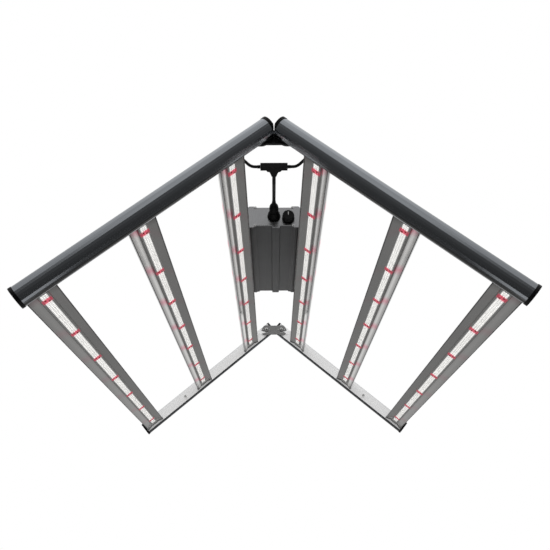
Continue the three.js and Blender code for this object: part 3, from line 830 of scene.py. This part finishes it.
def make_driver_screws():
    for end, toward in ENDS.items():
        screws = Shape()
        for x in (-0.0462, 0.0462):
            for z in (-0.0062, -0.0570):
                at = facing((0, toward, 0), (x, toward * (DRIVER_FACE + 0.00005), z))
                washer = [(0.0032, 0), (0.0034, 0.0002), (0.0034, 0.0005), (0.0031, 0.0006)]
                screws.turned(washer, at, 28)
                screw(screws, at @ Matrix.Translation((0, 0, 0.0006)), 0.0029, 0.0020)
        screws.make(f"end_plate_screws_{end}", [STEEL], "centre_frame", "steel", 30)


def make_strap_screws():
    for end, toward in ENDS.items():
        screws = Shape()
        for sign in SIGNS.values():
            for z in (-0.022, -0.042):
                at = facing((sign, 0, 0), (sign * 0.0638, toward * 0.12, z))
                screw(screws, at, 0.0034, 0.0024, "hex")
        screws.make(f"strap_screws_{end}", [DARK_STEEL], "centre_frame", "steel", 30)


def make_pin_details():
    """Hexagon sockets in the hinge pins, and a small screw on either side of each."""
    for end, toward in ENDS.items():
        fixings = Shape()
        for sign in SIGNS.values():
            face = toward * (RAIL_INNER_WALL - 0.0056)
            at = facing((0, -toward, 0), (sign * PIVOT_X, face, PIVOT_Z))
            socket = hexagon(0.0022)
            steps = [
                (0.0031, 0.0046), (0.0030, 0.0050), (socket, 0.0051), (socket, 0.0042),
                (0.0004, 0.0041),
            ]
            fixings.turned(steps, at, 36)
            for x in (-0.0113, 0.0113):
                spot = facing((0, -toward, 0), (sign * PIVOT_X + x, toward * 0.52965, PIVOT_Z))
                screw(fixings, spot, 0.0024, 0.0016, "hex")
        fixings.make(f"hinge_fixings_{end}", [STEEL], "centre_frame", "steel", 30)


def make_knob_details():
    low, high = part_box("dimmer_knob")
    centre = (low + high) / 2
    face = Matrix.Translation((centre.x, low.y, centre.z)) @ Matrix.Rotation(math.pi / 2, 4, "X")
    cap = Shape()
    cap.turned(
        [
            (0.0118, -0.0004), (0.0124, 0.0002), (0.0120, 0.0008),
            (0.0104, 0.0009), (0.0100, 0.0004), (0.0002, 0.0003),
        ],
        face, 48,
    )
    cap.make("knob_cap", [KNOB_PLASTIC], "dimmer", "knob", 30)
    mark = Shape()
    mark.slab(0.0016, 0.0085, 0.0007, face @ Matrix.Translation((0, 0.0050, 0.0001)), 0.0007, 0.0002)
    mark.slab(0.0016, 0.0006, 0.0100, face @ Matrix.Translation((0, 0.0142, -0.0112)), 0.0003, 0.0001)
    mark.make("knob_pointer", [MARK_PAINT], "dimmer", "knob", 30)
    ticks = Shape()
    for k in range(11):
        a = math.radians(240 - 30 * k)
        x, z = centre.x + 0.0182 * math.cos(a), centre.z + 0.0182 * math.sin(a)
        spot = (x, -DRIVER_FACE - 0.00002, z)
        turn = Matrix.Rotation(math.pi / 2, 4, "X") @ Matrix.Rotation(a - math.pi / 2, 4, "Z")
        ticks.slab(0.0006, 0.0018, 0.00012, Matrix.Translation(spot) @ turn, 0.0002, 0.00003)
    ticks.make("dial_ticks", [DARK_STEEL], "centre_frame", "driver_end_plate", 30)


def make_port_details():
    inlet_low, inlet_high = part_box("mains_inlet")
    middle = (inlet_low + inlet_high) / 2
    pins = Shape()
    for x, z in ((-0.007, -0.002), (0, 0.002), (0.007, -0.002)):
        at = facing((0, 1, 0), (middle.x + x, DRIVER_FACE + 0.0032, middle.z + z))
        pins.slab(0.004, 0.002, 0.0080, at, 0.0006, 0.0004)
    pins.make("inlet_pins", [STEEL], "centre_frame", "steel")
    low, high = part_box("data_port")
    centre = (low + high) / 2
    face = Matrix.Translation((centre.x, high.y, centre.z)) @ Matrix.Rotation(-math.pi / 2, 4, "X")
    port = Shape()
    port.turned(
        [
            (0.0078, -0.0002), (0.0084, 0.0002), (0.0080, 0.0008),
            (0.0062, 0.0008), (0.0058, 0.0001), (0.0002, 0.0001),
        ],
        face, 40,
    )
    port.make("data_port_rim", [CAP_PLASTIC], "centre_frame", "connector", 30)
    contacts = Shape()
    for k in range(5):
        a = 2 * math.pi * k / 5 + math.pi / 2
        at = face @ Matrix.Translation((0.0036 * math.cos(a), 0.0036 * math.sin(a), 0.0001))
        contacts.turned([(0.0006, 0), (0.0006, 0.0005), (0.0004, 0.0008), (0.0001, 0.0009)], at, 12)
    contacts.make("data_port_contacts", [BRASS], "centre_frame", "connector")


def make_lead_boots():
    """Ribbed strain reliefs where the leads leave the plug, the tee and the junction boxes."""
    line = smooth_route(LEAD_ROUTE, 0.001)

    def ribbed(route, start, end, thick, thin, pitch=4):
        part = route[start:end]
        count = len(part) - 1

        def radius(i):
            taper = thick + (thin - thick) * i / count
            return taper - (0.0006 if i % pitch >= pitch // 2 else 0.0)

        return tube_rings(part, radius, 28)

    boots = Shape()
    boots.skin(ribbed(line, 0, 20, 0.0056, 0.0043))
    backwards = line[::-1]
    boots.skin(ribbed(backwards, 0, 5, 0.0048, 0.0044))
    boots.make("lead_boots", [PART_PLASTIC], "centre_frame", "connector", 25)
    for side, sign in SIGNS.items():
        arm = smooth_route([(sign * x, y, z) for x, y, z in ARM_ROUTE], 0.001)
        boot = Shape().skin(ribbed(arm, 0, 7, 0.0042, 0.0036))
        boot.make(f"tee_boot_{side}", [PART_PLASTIC], "centre_frame", "connector", 25)
        gland = Shape()
        at = facing((0, 1, 0), (arm[-1].x, -0.5099, arm[-1].z))
        gland.turned(
            [
                (0.0050, 0), (hexagon(0.0052), 0.0001), (hexagon(0.0052), 0.0030),
                (0.0046, 0.0034), (0.0042, 0.0050), (0.0032, 0.0058),
            ],
            at, 36,
        )
        gland.make(f"junction_gland_{side}", [PART_PLASTIC], f"{side}_wing", "connector", 30)


def make_socket_seal():
    seal = Shape()
    at = facing((0, -1, 0), (0, -DRIVER_FACE, -0.0323))
    seal.turned([(0.0158, 0), (0.0162, 0.0002), (0.0162, 0.0006), (0.0128, 0.0007)], at, 48)
    seal.make("socket_seal", [JACKET], "centre_frame", "connector", 30)


def make_junction_screws():
    for side, sign in SIGNS.items():
        wing = wing_frame(sign)
        lid = Shape()
        for x in (-0.009, 0.009):
            for y in (-0.5285, -0.5135):
                at = Matrix.Translation((sign * BARS["inner"] + x, y, 0.0250))
                screw(lid, wing @ at, 0.0014, 0.0009)
        lid.make(f"junction_screws_{side}", [DARK_STEEL], f"{side}_wing", "steel", 30)


make_driver_screws()
make_strap_screws()
make_pin_details()
make_knob_details()
make_port_details()
make_lead_boots()
make_socket_seal()
make_junction_screws()


# ------------------------------------------------------------------ studio


def make_floor():
    look = Look("studio_floor")
    cloud = look.noise(look.rest, 3, 4)
    fine = look.noise(look.rest, 400, 3)
    tone = look.mix(look.spread(cloud, 0, 1), (0.80, 0.80, 0.80), (0.84, 0.84, 0.84))
    look.set(
        Base_Color=tone,
        Roughness=look.spread(fine, 0.55, 0.7),
        Normal=look.bump(fine, 0.02, 0.001),
    )
    floor = Shape()
    floor.turned([(1.25, -0.02), (1.26, -0.01), (1.25, 0)], Matrix.Translation((0, 0, -2.2)), 96)
    piece = floor.make("floor", [look.material])


def grade(ramp, stops):
    elements = ramp.color_ramp.elements
    elements[0].position = stops[0][0]
    elements[1].position = stops[-1][0]
    for position, _ in stops[1:-1]:
        elements.new(position)
    for element, (_, value) in zip(elements, stops):
        element.color = (value, value, value, 1)


def make_world():
    """White to the camera; in reflections, a graded room with one bright edge on the camera's side."""
    world = bpy.data.worlds.new("studio")
    bpy.context.scene.world = world
    world.use_nodes = True
    nodes, links = world.node_tree.nodes, world.node_tree.links
    nodes.clear()
    out = nodes.new("ShaderNodeOutputWorld")
    mix = nodes.new("ShaderNodeMixShader")
    seen = nodes.new("ShaderNodeBackground")
    lit = nodes.new("ShaderNodeBackground")
    path = nodes.new("ShaderNodeLightPath")
    place = nodes.new("ShaderNodeTexCoord")
    split = nodes.new("ShaderNodeSeparateXYZ")
    level = nodes.new("ShaderNodeMapRange")
    ramp = nodes.new("ShaderNodeValToRGB")
    level.inputs[1].default_value = -1
    level.inputs[2].default_value = 1
    stops = (
        (0.0, 0.45), (0.28, 0.25), (0.35, 0.27), (0.42, 0.40), (0.48, 0.55), (0.56, 0.90), (1.0, 1.0),
    )
    grade(ramp, stops)
    front = nodes.new("ShaderNodeValToRGB")
    front_stops = (
        (0.0, 0.06), (0.2, 0.07), (0.635, 0.15), (0.665, 0.85), (0.70, 0.62), (0.85, 0.60), (1.0, 1.0),
    )
    grade(front, front_stops)
    ahead = nodes.new("ShaderNodeMapRange")
    ahead.inputs[1].default_value = 0.5
    ahead.inputs[2].default_value = 0.75
    blend = nodes.new("ShaderNodeMix")
    blend.data_type = "RGBA"
    links.new(place.outputs["Generated"], split.inputs[0])
    links.new(split.outputs[2], level.inputs[0])
    links.new(level.outputs[0], ramp.inputs[0])
    links.new(level.outputs[0], front.inputs[0])
    links.new(split.outputs[1], ahead.inputs[0])
    links.new(ahead.outputs[0], blend.inputs[0])
    links.new(front.outputs[0], blend.inputs[6])
    links.new(ramp.outputs[0], blend.inputs[7])
    links.new(blend.outputs[2], lit.inputs[0])
    links.new(path.outputs["Is Camera Ray"], mix.inputs[0])
    links.new(lit.outputs[0], mix.inputs[1])
    links.new(seen.outputs[0], mix.inputs[2])
    links.new(mix.outputs[0], out.inputs[0])
    seen.inputs[0].default_value = (1, 1, 1, 1)
    seen.inputs[1].default_value = 1.0
    lit.inputs[1].default_value = 1.0


def area_light(name, at, toward, size, power):
    """A square lamp that lights surfaces without showing in their reflections."""
    light = bpy.data.objects.new(name, bpy.data.lights.new(name, "AREA"))
    light.data.shape = "RECTANGLE"
    light.data.size = size
    light.data.size_y = size
    light.data.energy = power
    light.visible_glossy = False
    light.matrix_world = facing(Vector(at) - Vector(toward), at)
    bpy.context.scene.collection.objects.link(light)


make_floor()
make_world()
area_light("key", (-1.2, -1.8, 2.2), (0, 0, -0.1), 1.2, 18)
area_light("fill", (1.6, -1.6, 2.0), (0, 0, -0.2), 1.2, 12)
area_light("top", (0, 0.9, 1.5), (0, -0.3, -0.2), 2.0, 24)
bpy.context.scene.view_settings.view_transform = "Standard"
